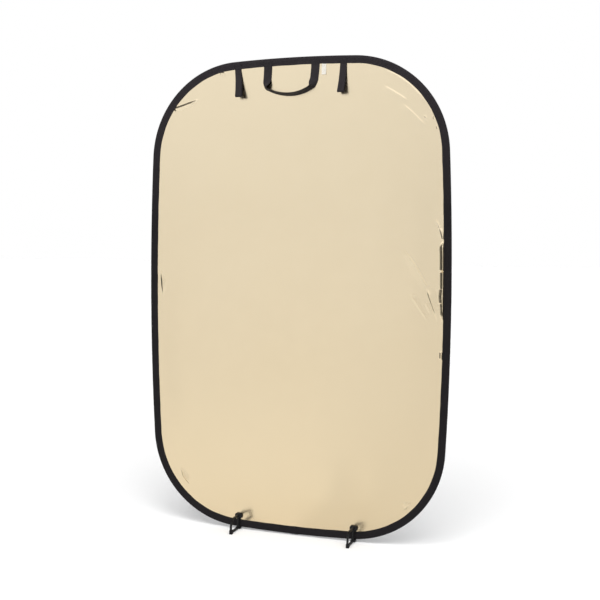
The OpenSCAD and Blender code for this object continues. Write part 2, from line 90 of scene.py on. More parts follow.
def setPoints(piece, x, y, z):
    places = np.column_stack(np.broadcast_arrays(x, y, z)).astype(np.float32)
    piece.data.vertices.foreach_set("co", places.ravel())
    piece.data.update()


def selectFaces(piece, choose):
    with editing(piece):
        bpy.ops.mesh.select_all(action="DESELECT")
    centres = np.empty(len(piece.data.polygons) * 3, np.float32)
    piece.data.polygons.foreach_get("center", centres)
    x, y, z = centres.reshape(-1, 3).T
    piece.data.polygons.foreach_set("select", choose(x, y, z))


def startGrid(name, across, along):
    grab()
    bpy.ops.mesh.primitive_grid_add(x_subdivisions=across, y_subdivisions=along, size=2)
    piece = bpy.context.active_object
    piece.name = name
    piece.data.name = name
    return piece


def smoothEdges(piece, angle):
    grab(piece)
    bpy.ops.object.shade_smooth_by_angle(angle=math.radians(angle))


def finishPiece(piece, material, slotName, *nodes):
    piece.data.materials.clear()
    piece.data.materials.append(material)
    if nodes:
        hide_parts(*nodes)


def smooth(share):
    share = np.clip(share, 0, 1)
    return share * share * (3 - 2 * share)


# Shader maths: a socket that adds Math nodes when it is used in an expression

class ShaderValue:
    def __init__(self, tree, socket=None):
        self.tree = tree
        self.socket = socket

    def node(self, kind, settings=(), inputs=(), output=0):
        made = self.tree.nodes.new(kind)
        for name, value in dict(settings).items():
            setattr(made, name, value)
        self.feed(made, inputs)
        return ShaderValue(self.tree, made.outputs[output])

    def feed(self, node, inputs):
        for name, value in dict(inputs).items():
            if isinstance(value, ShaderValue):
                self.tree.links.new(value.socket, node.inputs[name])
            else:
                node.inputs[name].default_value = value

    def math(self, operation, *values):
        return self.node("ShaderNodeMath", {"operation": operation}, enumerate(values))

    def __add__(self, other):
        return self.math("ADD", self, other)

    def __radd__(self, other):
        return self.math("ADD", other, self)

    def __sub__(self, other):
        return self.math("SUBTRACT", self, other)

    def __rsub__(self, other):
        return self.math("SUBTRACT", other, self)

    def __mul__(self, other):
        return self.math("MULTIPLY", self, other)

    def __truediv__(self, other):
        return self.math("DIVIDE", self, other)

    def __abs__(self):
        return self.math("ABSOLUTE", self)

    def sine(self):
        return self.math("SINE", self)

    def ramp(self, low, high, start=0, end=1):
        spread = {"From Min": low, "From Max": high, "To Min": start, "To Max": end, "Value": self}
        return self.node("ShaderNodeMapRange", {"interpolation_type": "SMOOTHSTEP"}, spread)

    def mix(self, first, second):
        colours = {0: self, 6: first, 7: second}
        return self.node("ShaderNodeMix", {"data_type": "RGBA"}, colours, 2)

    def parts(self):
        return [self.node("ShaderNodeSeparateXYZ", inputs={0: self}, output=axis) for axis in range(3)]

    def noise(self, place, scale, detail, roughness=0.55):
        shape = {"Vector": place, "Scale": scale, "Detail": detail, "Roughness": roughness}
        return self.node("ShaderNodeTexNoise", inputs=shape)

    def place(self, source="Object", scale=(1, 1, 1)):
        start = self.node("ShaderNodeTexCoord", output=source)
        return self.node("ShaderNodeMapping", inputs={"Vector": start, "Scale": scale})

    def bump(self, height, distance, strength):
        relief = {"Height": height, "Distance": distance, "Strength": strength}
        return self.node("ShaderNodeBump", inputs=relief)


def newMaterial(name, **constants):
    material = bpy.data.materials.new(name)
    material.use_nodes = True
    shader = material.node_tree.nodes["Principled BSDF"]
    bench = ShaderValue(material.node_tree)
    bench.feed(shader, {socket.replace("_", " "): value for socket, value in constants.items()})
    return material, bench, shader


def grey(level, blue=1.0):
    return (level, level, level * blue, 1)


noiseRange = (0.3, 0.7)  # where most values of a noise texture lie


# Dyed black yarn has a trace of violet
def dyedBlack(level):
    return (level * 1.08, level * 0.93, level * 1.04, 1)


# Metallised cloth: fine woven grain under a satin metal coat, with painted shade that makes it a little
# deeper in colour towards the floor and paler towards the top, as if lit from above
metalCoat = dict(
    grain=0.9 * mm, crinkleScale=9, patchScale=2.2, patchReach=0.5, lowZ=0.1, highZ=2.2,
    smoothest=0.92, roughest=1.1, weaveShare=0.2, depth=0.2 * mm, relief=0.12,
)


def metalCloth(name, litHighColour, shadedLowColour, roughness):
    material, bench, shader = newMaterial(name, Metallic=1.0)
    place = bench.place()
    x, _, z = place.parts()
    yarns = math.tau / metalCoat["grain"]
    weave = (x * yarns).sine() * (z * yarns).sine()
    crinkle = bench.noise(place, metalCoat["crinkleScale"], 4, 0.6)
    # Painted light: with random patches, the colour runs from the shaded low colour near the floor to the
    # paler lit colour at the top
    height = z + bench.noise(place, metalCoat["patchScale"], 2) * metalCoat["patchReach"]
    relief = weave * metalCoat["weaveShare"] + crinkle
    rough = (roughness * metalCoat["smoothest"], roughness * metalCoat["roughest"])
    bench.feed(shader, {
        "Base Color": height.ramp(metalCoat["lowZ"], metalCoat["highZ"]).mix(shadedLowColour, litHighColour),
        "Roughness": crinkle.ramp(*noiseRange, *rough),
        "Normal": bench.bump(relief, metalCoat["depth"], metalCoat["relief"]),
    })
    return material


# Woven tape and webbing: herringbone ribs that follow the strip's own UV map, with painted light that makes
# them paler towards the top
yarn = dict(
    pitch=0.7, fuzzScale=900, wearScale=14, ribTone=0.3, yarnTone=0.12, fuzzTone=0.35, wearTone=0.4,
    toneRange=(-0.1, 0.85), clean=(0.4, 1.8), dusty=(1.1, 4.2), topLightFrom=1.1, topLightTo=1.85,
    roughSpread=0.06, ribHeight=0.5, yarnHeight=0.25, fuzzHeight=0.6, depth=0.16 * mm, relief=0.8,
)


def wovenStrip(name, level, width, length, rib, roughness):
    material, bench, shader = newMaterial(
        name, Sheen_Weight=0.04, Sheen_Roughness=0.5, Specular_IOR_Level=0.15)
    across, along, _ = bench.place("UV", (width, length, 1)).parts()
    zigzag = abs((across * (math.pi / (4 * rib))).sine()) * (2 * rib)
    ribs = ((along + zigzag) * (math.tau / rib)).sine()
    yarns = (across * (math.tau / (rib * yarn["pitch"]))).sine()
    fuzz = bench.noise(bench.place(), yarn["fuzzScale"], 2)
    wear = bench.noise(bench.place(), yarn["wearScale"], 3)
    height = ribs * yarn["ribHeight"] + yarns * yarn["yarnHeight"] + fuzz * yarn["fuzzHeight"]
    tone = ribs * yarn["ribTone"] + yarns * yarn["yarnTone"] + fuzz * yarn["fuzzTone"]
    tone = (tone + wear * yarn["wearTone"]).ramp(*yarn["toneRange"])
    clean, dusty = (tone.mix(dyedBlack(level * dark), dyedBlack(level * pale))
                    for dark, pale in (yarn["clean"], yarn["dusty"]))
    # Painted light: from these heights upwards the strip is paler, as if lit more from above
    dustAndLitTop = bench.place().parts()[2].ramp(yarn["topLightFrom"], yarn["topLightTo"])
    bench.feed(shader, {
        "Base Color": dustAndLitTop.mix(clean, dusty),
        "Roughness": fuzz.ramp(*noiseRange, roughness - yarn["roughSpread"], roughness + yarn["roughSpread"]),
        "Normal": bench.bump(height, yarn["depth"], yarn["relief"]),
    })
    return material


# Moulded black plastic or rubber, and sewing thread: fine grain and dusty, slightly paler wear
mould = dict(dustScale=60, dustRange=(0.35, 0.75), dusty=1.7, smoother=0.07, rougher=0.1, relief=0.5)


def moulded(name, level, roughness, grain, depth):
    material, bench, shader = newMaterial(name, Specular_IOR_Level=0.25)
    place = bench.place()
    specks = bench.noise(place, 1 / grain, 2, 0.6)
    dustAndLitTop = bench.noise(place, mould["dustScale"], 4, 0.65)
    clean, dusty = grey(level, 1.05), grey(level * mould["dusty"], 1.04)
    bench.feed(shader, {
        "Base Color": dustAndLitTop.ramp(*mould["dustRange"]).mix(clean, dusty),
        "Roughness": dustAndLitTop.ramp(*noiseRange, roughness - mould["smoother"], roughness + mould["rougher"]),
        "Normal": bench.bump(specks, depth, mould["relief"]),
    })
    return material


# Drawn or rolled steel: fine streaks along the axis whose scale is low, or specks where all three are equal
drawn = dict(dark=0.88, pale=1.06, smoother=0.05, rougher=0.08, depth=0.02 * mm, relief=0.3)


def steel(name, level, roughness, scales):
    material, bench, shader = newMaterial(name, Metallic=1.0)
    streaks = bench.noise(bench.place("Object", scales), 1, 3, 0.6)
    dark, pale = grey(level * drawn["dark"]), grey(level * drawn["pale"], 1.01)
    bench.feed(shader, {
        "Base Color": streaks.ramp(*noiseRange).mix(dark, pale),
        "Roughness": streaks.ramp(*noiseRange, roughness - drawn["smoother"], roughness + drawn["rougher"]),
        "Normal": bench.bump(streaks, drawn["depth"], drawn["relief"]),
    })
    return material


# Plain woven white cloth with faint uneven shading
whiteCloth = dict(grain=0.5 * mm, shadeScale=120, roughness=(0.72, 0.85), depth=0.05 * mm, relief=0.5)


def labelCloth(name, darkColour, paleColour):
    material, bench, shader = newMaterial(name, Sheen_Weight=0.1)
    x, _, z = bench.place().parts()
    yarns = math.tau / whiteCloth["grain"]
    weave = (x * yarns).sine() * (z * yarns).sine()
    shade = bench.noise(bench.place(), whiteCloth["shadeScale"], 3)
    bench.feed(shader, {
        "Base Color": shade.ramp(*noiseRange).mix(darkColour, paleColour),
        "Roughness": shade.ramp(*noiseRange, *whiteCloth["roughness"]),
        "Normal": bench.bump(weave, whiteCloth["depth"], whiteCloth["relief"]),
    })
    return material


goldMetal = metalCloth("goldMetalCloth", (0.797, 0.687, 0.497, 1), (0.738, 0.610, 0.408, 1), 0.22)
silverMetal = metalCloth("silverMetalCloth", (0.80, 0.81, 0.83, 1), (0.77, 0.78, 0.80, 1), 0.24)
tapeWeave = wovenStrip("bindingTape", 0.0098, 66 * mm, 5.3, 1.6 * mm, 0.72)
handleWeave = wovenStrip("handleWebbing", 0.009, 32 * mm, 0.41, 2.2 * mm, 0.66)
loopWeave = wovenStrip("loopWebbing", 0.009, 25 * mm, 0.25, 1.9 * mm, 0.66)
whiteLabel = labelCloth("labelCloth", (0.78, 0.74, 0.66, 1), (0.81, 0.775, 0.70, 1))
blackThread = moulded("blackThread", 0.028, 0.6, 0.3 * mm, 0.03 * mm)
blackNylon = moulded("blackNylon", 0.007, 0.42, 0.35 * mm, 0.03 * mm)
blackRubber = moulded("blackRubber", 0.006, 0.72, 0.5 * mm, 0.05 * mm)
bandSteel = steel("bandSteel", 0.45, 0.32, (4, 900, 4))
platedSteel = steel("platedSteel", 0.66, 0.28, (30, 900, 900))
springSteel = steel("springSteel", 0.5, 0.3, (500, 500, 500))
print("materials made")


# Outline of the rim: arcs that meet tangentially, from the bottom middle round by the right side
rim = dict(cornerR=366 * mm, sideBowR=11.2, endBowR=5.0)
rimLow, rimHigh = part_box("rim_binding")
halfW = (rimHigh.x - rimLow.x) / 2
halfH = (rimHigh.z - rimLow.z) / 2
midZ = (rimHigh.z + rimLow.z) / 2
sideCentreX = halfW - rim["sideBowR"]
endCentreZ = halfH - rim["endBowR"]


def cornerCentre():
    apart = math.hypot(sideCentreX, endCentreZ)
    way = (-sideCentreX / apart, endCentreZ / apart)
    sideIn = rim["sideBowR"] - rim["cornerR"]
    endIn = rim["endBowR"] - rim["cornerR"]
    along = (apart**2 + sideIn**2 - endIn**2) / (2 * apart)
    off = math.sqrt(sideIn**2 - along**2)
    return sideCentreX + way[0] * along - way[1] * off, way[1] * along + way[0] * off


cornerX, cornerZ = cornerCentre()
sideAngle = math.atan2(cornerZ, cornerX - sideCentreX)
endAngle = math.atan2(cornerZ - endCentreZ, cornerX)
cornerSweep = endAngle - sideAngle
rimArcs = [  # centre x, centre z, radius, start angle, sweep
    (0, -endCentreZ, rim["endBowR"], 1.5 * math.pi, math.pi / 2 - endAngle),
    (cornerX, -cornerZ, rim["cornerR"], 2 * math.pi - endAngle, cornerSweep),
    (sideCentreX, 0, rim["sideBowR"], -sideAngle, 2 * sideAngle),
    (cornerX, cornerZ, rim["cornerR"], sideAngle, cornerSweep),
    (0, endCentreZ, rim["endBowR"], endAngle, math.pi - 2 * endAngle),
    (-cornerX, cornerZ, rim["cornerR"], math.pi - endAngle, cornerSweep),
    (-sideCentreX, 0, rim["sideBowR"], math.pi - sideAngle, 2 * sideAngle),
    (-cornerX, -cornerZ, rim["cornerR"], math.pi + sideAngle, cornerSweep),
    (0, -endCentreZ, rim["endBowR"], math.pi + endAngle, math.pi / 2 - endAngle),
]
arcX, arcZ, arcR, arcStart, arcSweep = np.array(rimArcs).T
arcLength = arcR * arcSweep
arcEnd = np.cumsum(arcLength)
rimLength = arcEnd[-1]


def rimAt(length, depth):
    length = np.mod(length, rimLength)
    arc = np.clip(np.searchsorted(arcEnd, length, side="right"), 0, len(rimArcs) - 1)
    angle = arcStart[arc] + (length - arcEnd[arc] + arcLength[arc]) / arcR[arc]
    reach = arcR[arc] - depth
    return arcX[arc] + reach * np.cos(angle), midZ + arcZ[arc] + reach * np.sin(angle)


def depthAt(x, z):
    away = np.abs(x)
    high = np.abs(z - midZ)
    side = rim["sideBowR"] - np.hypot(away - sideCentreX, high)
    end = rim["endBowR"] - np.hypot(away, high - endCentreZ)
    corner = rim["cornerR"] - np.hypot(away - cornerX, high - cornerZ)
    return np.where((away > cornerX) & (high > cornerZ), corner, np.minimum(side, end))


# Binding tape, folded over the hoop and sewn down on both faces
tape = dict(
    width=28 * mm, thickness=0.8 * mm, hoopHalf=5.45 * mm, edgeHalf=1.5 * mm,
    foldR=1.4 * mm, foldTurns=[0, 30, 60, 90], flatSteps=11, hoopDepth=3.9 * mm, stations=900,
    lap=25 * mm, lapLift=0.9 * mm, lapEase=10 * mm, seamIn=3.5 * mm, seamPoints=700,
    pucker=0.28 * mm, puckerFrom=8 * mm, puckerReach=16 * mm,
    puckerWaves=[(31 * mm, 0.4), (47 * mm, 2.0), (113 * mm, 4.1)],  # wave length, phase
    stray=0.5 * mm, strayWaves=[(83 * mm, 1.0), (210 * mm, 3.0)],
)


def tapeHalf(depth):
    rise = smooth((tape["width"] - depth) / (tape["width"] - tape["hoopDepth"]))
    return tape["edgeHalf"] + (tape["hoopHalf"] - tape["edgeHalf"]) * rise


def waver(length, waves):
    return sum(np.sin(length * math.tau / wave + phase) for wave, phase in waves) / len(waves)


def tapePucker(length, depth):
    held = smooth((depth - tape["puckerFrom"]) / tape["puckerReach"])
    return tape["pucker"] * held * waver(length, tape["puckerWaves"])


def tapeProfile():
    fold, half = tape["foldR"], tape["hoopHalf"]
    flat = np.linspace(tape["width"], tape["hoopDepth"], tape["flatSteps"])
    turns = np.radians(tape["foldTurns"])
    depths = np.concatenate([flat, fold * (1 - np.sin(turns)), [0]])
    halves = np.concatenate([tapeHalf(flat), half - fold * (1 - np.cos(turns)), [0]])
    depths = np.concatenate([depths, depths[-2::-1]])
    sides = np.concatenate([-halves, halves[-2::-1]])
    return depths, sides


def makeTape():
    depths, sides = tapeProfile()
    along = np.stack([np.gradient(depths), np.gradient(sides)])
    along /= np.hypot(*along)
    piece = startGrid("rimBindingTape", len(depths) - 1, tape["stations"])
    u, v, _ = getPoints(piece)
    rank = np.rint((u + 1) / 2 * (len(depths) - 1)).astype(int)
    length = (v + 1) / 2 * (rimLength + tape["lap"])
    lift = tape["lapLift"] * smooth((length - rimLength + tape["lapEase"]) / tape["lapEase"])
    lift = lift + tapePucker(length, depths[rank])
    stray = tape["stray"] * waver(length, tape["strayWaves"]) * smooth(depths[rank] / tape["width"])
    x, z = rimAt(length, depths[rank] + stray - along[1][rank] * lift)
    setPoints(piece, x, sides[rank] + along[0][rank] * lift, z)
    applyModifier(piece, "SOLIDIFY", thickness=tape["thickness"], offset=-1)
    smoothEdges(piece, 50)
    finishPiece(piece, tapeWeave, "binding_tape", "rim_binding")
    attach(piece, "panel")


# Sewing: one stitch, repeated along a closed line and laid on a face
thread = dict(length=3.5 * mm, pitch=4.5 * mm, width=0.75 * mm)


def sewLine(name, path, faceY, facing):
    line = bpy.data.objects.new(name + "Path", bpy.data.curves.new(name + "Path", "CURVE"))
    bpy.context.scene.collection.objects.link(line)
    line.data.dimensions = "2D"
    spline = line.data.splines.new("POLY")
    spline.points.add(len(path) - 1)
    for point, (x, z) in zip(spline.points, path):
        point.co = (x, z, 0, 1)
    spline.use_cyclic_u = True
    grab()
    bpy.ops.mesh.primitive_uv_sphere_add(segments=6, ring_count=4, radius=1)
    piece = bpy.context.active_object
    piece.name = name
    with editing(piece):
        bpy.ops.mesh.select_all(action="SELECT")
        bpy.ops.transform.rotate(value=math.pi / 2, orient_axis="Y", center_override=(0, 0, 0))
        bpy.ops.transform.resize(value=(thread["length"] / 2, thread["width"] / 2, thread["width"] / 2))
    applyModifier(piece, "ARRAY", fit_type="FIT_CURVE", curve=line, use_relative_offset=False,
                  use_constant_offset=True, constant_offset_displace=(thread["pitch"], 0, 0))
    applyModifier(piece, "CURVE", object=line, deform_axis="POS_X")
    bpy.data.objects.remove(line)
    x, z, height = getPoints(piece)
    setPoints(piece, x, facing * (faceY(x, z) + height), z)
    with editing(piece):
        bpy.ops.mesh.select_all(action="SELECT")
        bpy.ops.mesh.normals_make_consistent(inside=False)
    smoothEdges(piece, 60)
    finishPiece(piece, blackThread, "binding_tape")
    return piece


def makeRimSeams():
    depth = tape["width"] - tape["seamIn"]
    lengths = np.linspace(0, rimLength, tape["seamPoints"], endpoint=False)
    path = np.column_stack(rimAt(lengths, depth))
    turned = np.unwrap(np.arctan2(path[:, 0], midZ - path[:, 1]) % math.tau)
    turned = np.append(turned, math.tau)
    puckers = np.append(tapePucker(lengths, depth), tapePucker(0, depth))

    def faceY(x, z):
        pucker = np.interp(np.arctan2(x, midZ - z) % math.tau, turned, puckers)
        return tapeHalf(depthAt(x, z)) + pucker

    for side, facing in (("front", -1), ("rear", 1)):
        seam = sewLine(side + "RimSeam", path, faceY, facing)
        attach(seam, "panel")


makeTape()
print("binding tape made")
makeRimSeams()
print("rim seams sewn")


# Reflecting cloths, stretched in the rim: waves away from it, slack beside the feet's jaws, and creases
drape = dict(
    waveReach=0.12, creaseEdge=1.5 * mm, sharpness=1.3, flankMargin=1.2,
    cuts=[(36 * mm, 3), (8 * mm, 2)],  # reach from a crease, cuts
    jaws=[-0.221, 0.246], slackFrom=13 * mm, slackReach=70 * mm, slackEnd=0.22, slackFall=0.13,
    slackTop=0.4, slackDrop=0.3, slackEdge=16 * mm,
)
jawSpots = [(jawX, 0.05, 0.09, 0.09) for jawX in drape["jaws"]]  # x, z, and how far it reaches in x and z

# Waves are height, counts per metre in x and z, and phase. Paths of creases are (x, z) in metres.
goldCloth = dict(
    cutDepth=6 * mm, middleY=-0.35 * mm, thickness=0.5 * mm,
    columns=72, rows=108,
    waves=[(1.1 * mm, 0.62, 0.9, 0.3), (0.8 * mm, -0.9, 1.3, 1.9), (0.5 * mm, 1.7, -0.8, 4.0)],
    flatSpots=[(-0.017, 1.74, 0.62, 0.56), *jawSpots], slack=5 * mm,
    creases=[  # along the path, left and right are the two hands of someone walking it
        dict(path=[(-0.500, 1.629), (-0.458, 1.640), (-0.426, 1.650), (-0.388, 1.668)],
             rise=6.5 * mm, left=10.5 * mm, right=11 * mm, fade=(0.12, 0.45), taper=0.7),
        dict(path=[(-0.302, 1.764), (-0.276, 1.757)],
             rise=2.8 * mm, left=4.5 * mm, right=10 * mm, fade=(0.2, 0.5)),
        dict(path=[(0.340, 1.688), (0.354, 1.679), (0.376, 1.666), (0.406, 1.647), (0.438, 1.626)],
             rise=0.9 * mm, left=5.5 * mm, right=26 * mm, fade=(0.25, 0.25)),
        dict(path=[(0.408, 1.623), (0.420, 1.613), (0.450, 1.587), (0.477, 1.560), (0.504, 1.533)],
             rise=0.75 * mm, left=5.5 * mm, right=26 * mm, fade=(0.25, 0.25)),
        dict(path=[(0.335, 1.746), (0.388, 1.722), (0.435, 1.689), (0.476, 1.648), (0.509, 1.600)],
             rise=0.9 * mm, left=5.5 * mm, right=22 * mm, fade=(0.3, 0.3)),
        dict(path=[(0.494, 1.576), (0.501, 1.561)],
             rise=1.8 * mm, left=6 * mm, right=4 * mm, fade=(0.4, 0.4)),
        dict(path=[(0.525, 1.572), (0.530, 1.557)],
             rise=2.2 * mm, left=3 * mm, right=4 * mm, fade=(0.3, 0.3)),
        dict(path=[(0.538, 1.539), (0.542, 1.521)],
             rise=2.2 * mm, left=3 * mm, right=4 * mm, fade=(0.3, 0.3)),
        dict(path=[(0.538, 1.207), (0.544, 1.197), (0.556, 1.173)],
             rise=2.0 * mm, left=12 * mm, right=4.5 * mm, fade=(0.6, 0.2)),
        dict(path=[(0.551, 1.184), (0.561, 1.161), (0.567, 1.139), (0.568, 1.130)],
             rise=3.6 * mm, left=12 * mm, right=6.5 * mm, fade=(0.4, 0.15)),
        dict(path=[(0.5655, 1.132), (0.5682, 1.070), (0.5688, 1.0212)],
             rise=8.0 * mm, left=40 * mm, right=14 * mm, fade=(0.25, 0.03), taper=0.7),
        dict(path=[(0.5688, 1.0194), (0.5694, 0.953)],
             rise=7.2 * mm, left=40 * mm, right=12.5 * mm, fade=(0.04, 0.1)),
        dict(path=[(0.5694, 0.9595), (0.5670, 0.932), (0.5690, 0.9025)],
             rise=8.5 * mm, left=40 * mm, right=15.5 * mm, fade=(0.114, 0.114)),
        dict(path=[(0.5690, 0.909), (0.5705, 0.860), (0.5730, 0.832)],
             rise=7.2 * mm, left=40 * mm, right=12.5 * mm, fade=(0.084, 0.5), taper=0.7),
        dict(path=[(0.5660, 0.737), (0.5655, 0.698)],
             rise=4.0 * mm, left=40 * mm, right=7 * mm, fade=(0.3, 0.3)),
        dict(path=[(0.425, 1.100), (0.465, 1.045), (0.491, 1.000), (0.515, 0.955)],
             rise=1.2 * mm, left=5 * mm, right=26 * mm, fade=(0.3, 0.2)),
        dict(path=[(0.510, 0.960), (0.530, 0.905), (0.547, 0.862), (0.553, 0.838)],
             rise=4.2 * mm, left=26 * mm, right=5 * mm, fade=(0.25, 0.4)),
        dict(path=[(0.450, 0.938), (0.486, 0.885), (0.522, 0.834)],
             rise=1.5 * mm, left=20 * mm, right=5 * mm, fade=(0.3, 0.3)),
        dict(path=[(0.505, 0.910), (0.528, 0.864)],
             rise=1.5 * mm, left=16 * mm, right=5 * mm, fade=(0.4, 0.4)),
        dict(path=[(-0.557, 1.006), (-0.550, 0.962), (-0.548, 0.905)],
             rise=3.6 * mm, left=16 * mm, right=8 * mm, fade=(0.45, 0.5), taper=0.6),
        dict(path=[(-0.478, 0.228), (-0.458, 0.187), (-0.441, 0.167), (-0.421, 0.146)],
             rise=5.0 * mm, left=26 * mm, right=7 * mm, fade=(0.5, 0.4), taper=0.5),
        dict(path=[(0.422, 0.130), (0.448, 0.152), (0.468, 0.173)],
             rise=5.0 * mm, left=26 * mm, right=6.5 * mm, fade=(0.5, 0.5), taper=0.5),
    ],
)
silverCloth = dict(
    cutDepth=6 * mm, middleY=0.35 * mm, thickness=0.5 * mm,
    columns=72, rows=108,
    waves=[(1.0 * mm, -0.5, 0.8, 1.1), (0.8 * mm, 1.1, 1.0, 0.2), (0.5 * mm, -1.6, 1.2, 2.6)],
    flatSpots=jawSpots, slack=5 * mm,
    creases=[
        dict(path=[(0.470, 1.640), (0.400, 1.672), (0.310, 1.735)],
             rise=2.4 * mm, left=24 * mm, right=6 * mm, fade=(0.1, 0.6)),
        dict(path=[(-0.330, 1.690), (-0.420, 1.605), (-0.490, 1.520)],
             rise=1.8 * mm, left=22 * mm, right=7 * mm, fade=(0.3, 0.3)),
        dict(path=[(-0.430, 1.090), (-0.490, 0.990), (-0.540, 0.880)],
             rise=2.2 * mm, left=24 * mm, right=7 * mm, fade=(0.3, 0.2)),
        dict(path=[(0.400, 0.330), (0.460, 0.230), (0.480, 0.170)],
             rise=1.6 * mm, left=8 * mm, right=24 * mm, fade=(0.3, 0.3)),
    ],
)


def pathOffset(x, z, path):
    path = np.array(path)
    best = np.full(len(x), np.inf)
    side = np.zeros(len(x))
    share = np.zeros(len(x))
    steps = np.hypot(*np.diff(path, axis=0).T)
    done = 0
    for (startX, startZ), (endX, endZ), step in zip(path, path[1:], steps):
        wayX, wayZ = (endX - startX) / step, (endZ - startZ) / step
        run = np.clip((x - startX) * wayX + (z - startZ) * wayZ, 0, step)
        offX, offZ = x - startX - run * wayX, z - startZ - run * wayZ
        gap = np.hypot(offX, offZ)
        nearer = gap < best
        side = np.where(nearer, np.sign(offX * wayZ - offZ * wayX), side)
        share = np.where(nearer, (done + run) / steps.sum(), share)
        best = np.minimum(best, gap)
        done += step
    return best * side, share


def creaseRise(x, z, crease):
    off, share = pathOffset(x, z, crease["path"])
    fadeIn, fadeOut = crease["fade"]
    tail = smooth(share / fadeIn) * smooth((1 - share) / fadeOut)
    narrowing = 1 - crease.get("taper", 0) * (1 - tail)
    spread = np.where(off > 0, crease["right"], crease["left"]) * narrowing
    near = np.clip(np.abs(off) / spread, 0, 1)
    return crease["rise"] * tail * (1 - near) ** drape["sharpness"]


def clothRise(cloth, x, z):
    inside = depthAt(x, z) - tape["width"]
    loose = smooth(inside / drape["waveReach"])
    for spotX, spotZ, reachX, reachZ in cloth["flatSpots"]:
        loose = loose * smooth(np.hypot((x - spotX) / reachX, (z - spotZ) / reachZ) * 2 - 1)
    rise = np.zeros(len(x))
    for height, countX, countZ, phase in cloth["waves"]:
        rise += height * (1 + np.sin(math.tau * (x * countX + z * countZ) + phase)) * loose
    for jawX in drape["jaws"]:
        away = np.abs(x - jawX)
        swell = smooth((away - drape["slackFrom"]) / drape["slackReach"])
        swell = swell * smooth((drape["slackEnd"] - away) / drape["slackFall"])
        swell = swell * smooth((drape["slackTop"] - z) / drape["slackDrop"])
        rise += cloth["slack"] * swell * smooth(inside / drape["slackEdge"])
    for crease in cloth["creases"]:
        rise += creaseRise(x, z, crease) * smooth(inside / drape["creaseEdge"])
    return rise


def nearCrease(cloth, x, z, reach):
    near = np.zeros(len(x), bool)
    for crease in cloth["creases"]:
        off, _ = pathOffset(x, z, crease["path"])
        flank = drape["flankMargin"] * min(crease["left"], crease["right"])
        near |= np.abs(off) < max(reach, flank)
    return near


def makeCloth(name, cloth, facing, material, slotName, node):
    piece = startGrid(name, cloth["columns"], cloth["rows"])
    u, v, _ = getPoints(piece)
    u = -facing * u
    toCorner = arcLength[0] + arcLength[1] / 2
    upSide = (arcLength[1] + arcLength[2]) / 2
    endX, endZ = rimAt(u * toCorner, cloth["cutDepth"])
    sideX, sideZ = rimAt(toCorner + (1 + v) * upSide, cloth["cutDepth"])
    meetX, meetZ = rimAt(toCorner, cloth["cutDepth"])
    setPoints(piece, endX + u * (sideX - meetX), cloth["middleY"], sideZ + v * (meetZ - endZ))
    for reach, cuts in drape["cuts"]:
        selectFaces(piece, lambda x, y, z: nearCrease(cloth, x, z, reach))
        with editing(piece):
            bpy.ops.mesh.subdivide(number_cuts=cuts)
    x, y, z = getPoints(piece)
    setPoints(piece, x, y + facing * clothRise(cloth, x, z), z)
    applyModifier(piece, "SOLIDIFY", thickness=cloth["thickness"], offset=0)
    smoothEdges(piece, 75)
    finishPiece(piece, material, slotName, node)
    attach(piece, "panel")
    cut = (2 * (halfW - cloth["cutDepth"]), 2 * (halfH - cloth["cutDepth"]))


makeCloth("goldFrontCloth", goldCloth, -1, goldMetal, "gold_fabric", "front_fabric")
makeCloth("silverRearCloth", silverCloth, 1, silverMetal, "silver_fabric", "rear_fabric")


# Webbing ends sewn on the binding, with a box of stitches set in from their edges
sewing = dict(gap=0.15 * mm, plyGap=0.05 * mm, ease=4 * mm, sideIn=3 * mm, lowIn=6 * mm, highIn=3.5 * mm)

# Carry handle: one length of webbing, its ends sewn on the front of the binding
handle = dict(
    width=32 * mm, thickness=2 * mm, span=187 * mm, x=-10.5 * mm, drop=106 * mm, bendR=13 * mm, slope=29,
    twist=76, twistLength=46 * mm, twistLift=12 * mm, leftLean=4.5 * mm, rightLean=7 * mm,
    seamY=-1.9 * mm, seamZ=1774.06 * mm, tail=20 * mm, stations=200, edge=0.5 * mm,
)


def onTape(x, z, thickness):
    return -tapeHalf(depthAt(x, z)) - thickness / 2 - sewing["gap"]


# At a run from the seam: the place of the middle, its direction, twist and lean. The half length comes last.
def handlePlace(run):
    bendR, half, slope = handle["bendR"], handle["span"] / 2, math.radians(handle["slope"])
    allTurn = math.pi / 2 - slope
    bend = bendR * allTurn
    gripR = (half - bendR * (1 - math.cos(allTurn))) / math.sin(slope)
    leg = handle["drop"] - gripR * (1 - math.cos(slope)) - bendR * math.sin(allTurn)
    turn = np.clip((run - leg) / bend, 0, 1) * allTurn
    fall = slope * (1 - np.clip((run - leg - bend) / (gripR * slope), 0, 1))
    onGrip = run > leg + bend
    x = np.where(onGrip, half - gripR * np.sin(fall), bendR * (1 - np.cos(turn)))
    z = np.where(onGrip, gripR * (1 - np.cos(fall)) - handle["drop"],
                 -np.minimum(run, leg) - bendR * np.sin(turn))
    along = np.where(onGrip, -fall, turn - math.pi / 2)
    turned = leg + bend / 2 - handle["twistLift"]
    twist = math.radians(handle["twist"]) * smooth((run - turned) / handle["twistLength"] + 0.5)
    lean = smooth(run / (leg + bend)) * fall / slope
    return x, z, along, twist, lean, leg + bend + gripR * slope


